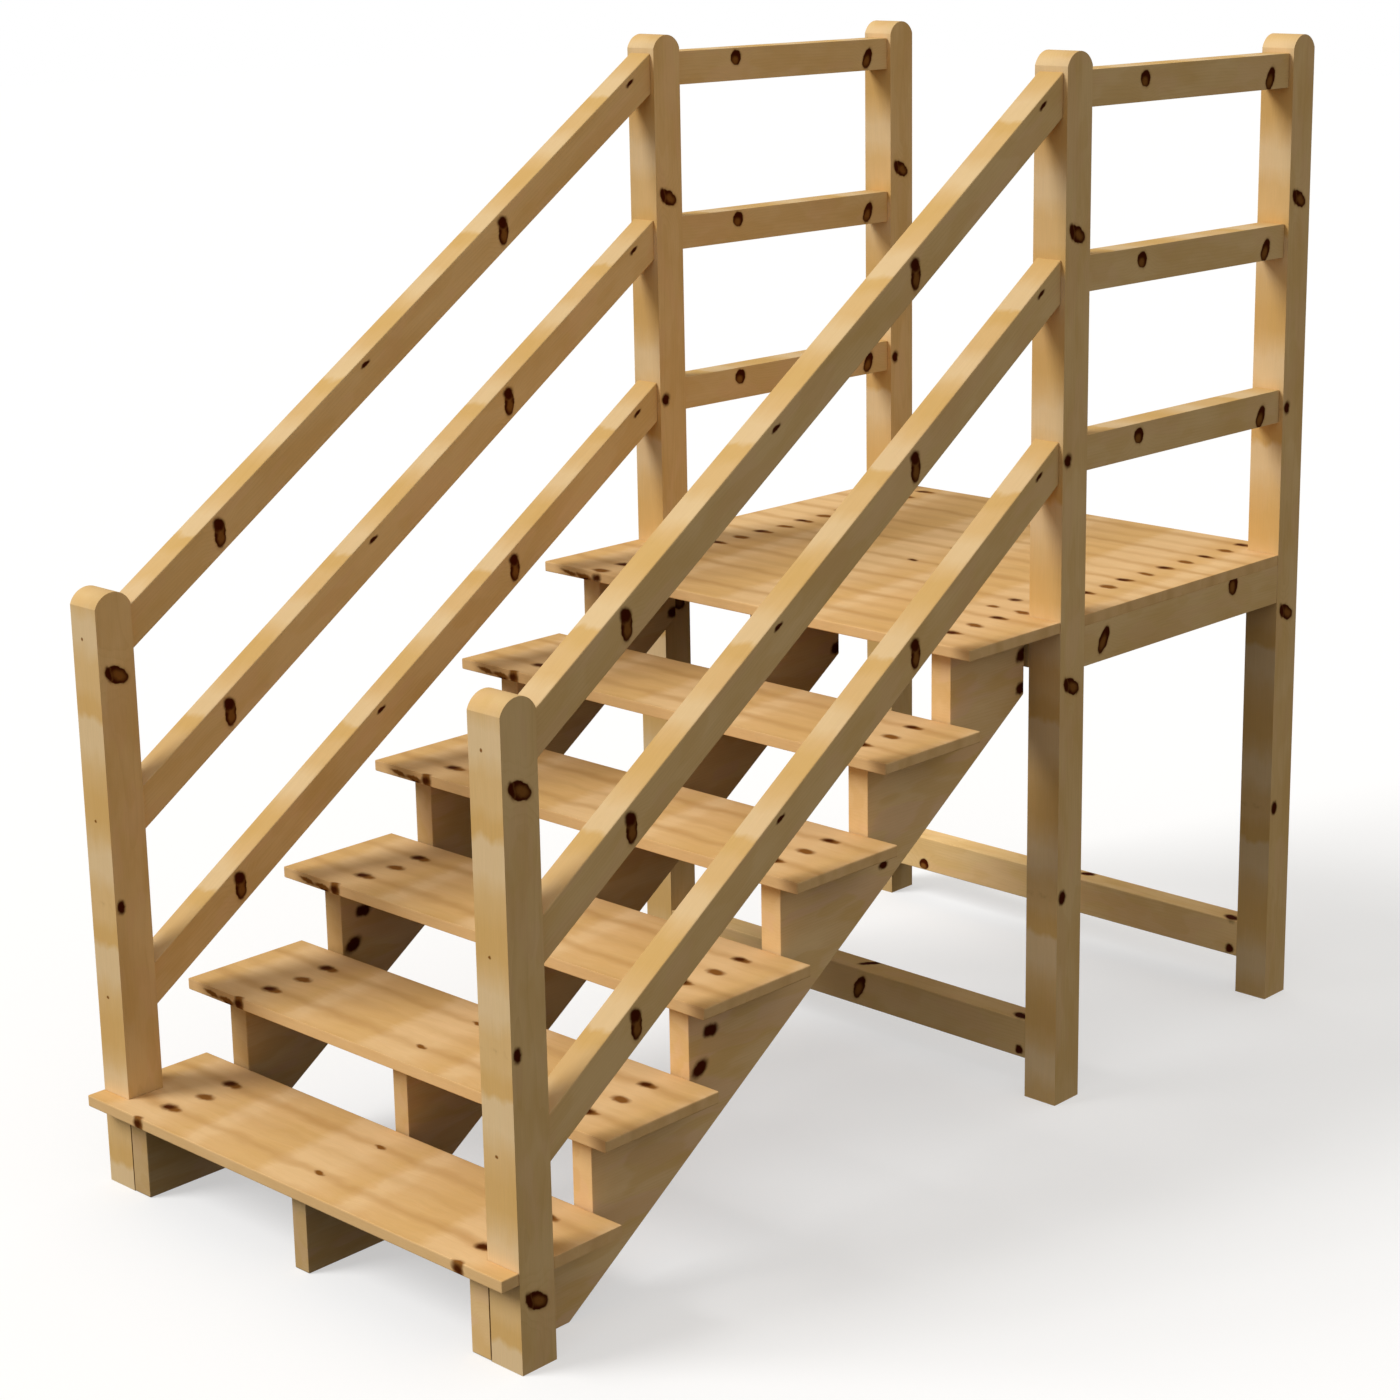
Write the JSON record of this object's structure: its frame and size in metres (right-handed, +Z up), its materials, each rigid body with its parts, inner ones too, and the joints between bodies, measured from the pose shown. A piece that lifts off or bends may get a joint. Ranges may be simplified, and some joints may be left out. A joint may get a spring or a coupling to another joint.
{
  "type": "wooden deck stairs",
  "caption": "Free-standing pine deck stairs: a straight open-riser flight on saw-tooth stringers up to a landing, with post-and-rail guards on both sides.",
  "frame": {"origin": "on the ground, under the middle of the whole footprint", "axes": "+X to the right of a person climbing the stairs, +Y the way they climb, +Z up"},
  "size_m": [1.2, 2.41, 2.1679],
  "materials": {
    "pine_post": "planed knotty pine, bare",
    "pine_board": "edge-glued knotty pine staves, planed, bare",
    "pine_rail": "planed knotty pine, bare",
    "pine_carcass": "sawn and planed knotty pine, bare"
  },
  "bodies": {
    "root": {"lower_newel_left": "pine_post", "upper_newel_left": "pine_post", "back_post_left": "pine_post", "stair_rail_left_top": "pine_rail", "landing_rail_left_top": "pine_rail", "stair_rail_left_middle": "pine_rail", "landing_rail_left_middle": "pine_rail", "stair_rail_left_bottom": "pine_rail", "landing_rail_left_bottom": "pine_rail", "landing_apron_left": "pine_carcass", "lower_newel_right": "pine_post", "upper_newel_right": "pine_post", "back_post_right": "pine_post", "stair_rail_right_top": "pine_rail", "landing_rail_right_top": "pine_rail", "stair_rail_right_middle": "pine_rail", "landing_rail_right_middle": "pine_rail", "stair_rail_right_bottom": "pine_rail", "landing_rail_right_bottom": "pine_rail", "landing_apron_right": "pine_carcass", "stringer_left": "pine_carcass", "stringer_middle": "pine_carcass", "stringer_right": "pine_carcass", "tread_1": "pine_board", "tread_2": "pine_board", "tread_3": "pine_board", "tread_4": "pine_board", "tread_5": "pine_board", "landing_deck": "pine_board", "front_beam": "pine_carcass", "back_beam": "pine_carcass", "front_brace": "pine_carcass", "back_brace": "pine_carcass", "landing_joist": "pine_carcass"}
  },
  "joints": []
}
